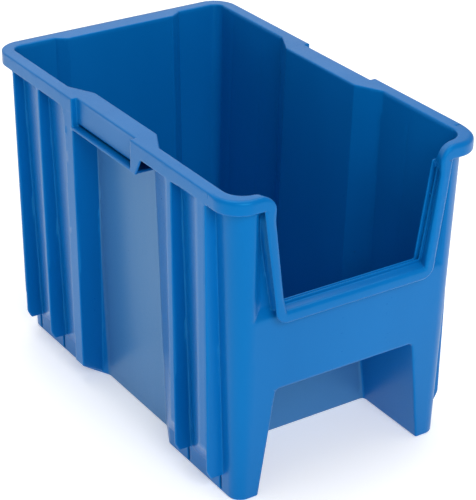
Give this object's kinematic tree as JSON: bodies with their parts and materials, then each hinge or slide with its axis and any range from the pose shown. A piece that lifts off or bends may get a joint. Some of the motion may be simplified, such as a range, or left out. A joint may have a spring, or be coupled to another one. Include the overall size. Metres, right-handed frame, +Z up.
{
  "type": "stackable storage bin",
  "caption": "Tapered open-topped plastic bin with a hopper opening in its front, hollow stacking ribs, lifting grips in its side rims and a tunnel between its front legs",
  "frame": {"origin": "centre of the base, on the surface the bin stands on", "axes": "+X across the bin to its right side, +Y along it to its rear, +Z up; the hopper opening faces -Y"},
  "size_m": [0.2762, 0.4444, 0.3175],
  "materials": {
    "body": "satin moulded polypropylene, one solid colour"
  },
  "bodies": {
    "root": {"floor_front": "body", "floor_middle": "body", "floor_rear": "body", "front_panel": "body", "front_post_left": "body", "front_post_right": "body", "front_wing_left": "body", "front_wing_right": "body", "grip_shelf_left": "body", "grip_shelf_right": "body", "jamb_left": "body", "jamb_right": "body", "leg_base_left": "body", "leg_base_right": "body", "leg_front_left": "body", "leg_front_right": "body", "pilaster_left": "body", "pilaster_right": "body", "rear_corner_left": "body", "rear_corner_right": "body", "rear_panel": "body", "rear_wall_left": "body", "rear_wall_right": "body", "rib_front_left": "body", "rib_front_right": "body", "rib_mid_front_left": "body", "rib_mid_front_right": "body", "rib_mid_rear_left": "body", "rib_mid_rear_right": "body", "rib_rear_left": "body", "rib_rear_right": "body", "rim_corner_front_left": "body", "rim_corner_front_right": "body", "rim_corner_rear_left": "body", "rim_corner_rear_right": "body", "rim_grip_left": "body", "rim_grip_right": "body", "rim_rear": "body", "rim_side_front_left": "body", "rim_side_front_right": "body", "rim_side_rear_left": "body", "rim_side_rear_right": "body", "side_flank_front_left": "body", "side_flank_front_right": "body", "side_flank_rear_left": "body", "side_flank_rear_right": "body", "side_panel_left": "body", "side_panel_right": "body", "side_wall_front_left": "body", "side_wall_front_right": "body", "side_wall_rear_left": "body", "side_wall_rear_right": "body", "sill": "body", "tunnel_riser": "body", "tunnel_roof": "body", "tunnel_side_left": "body", "tunnel_side_right": "body", "window_channel_left": "body", "window_channel_right": "body", "window_channel_sill": "body"}
  },
  "joints": []
}
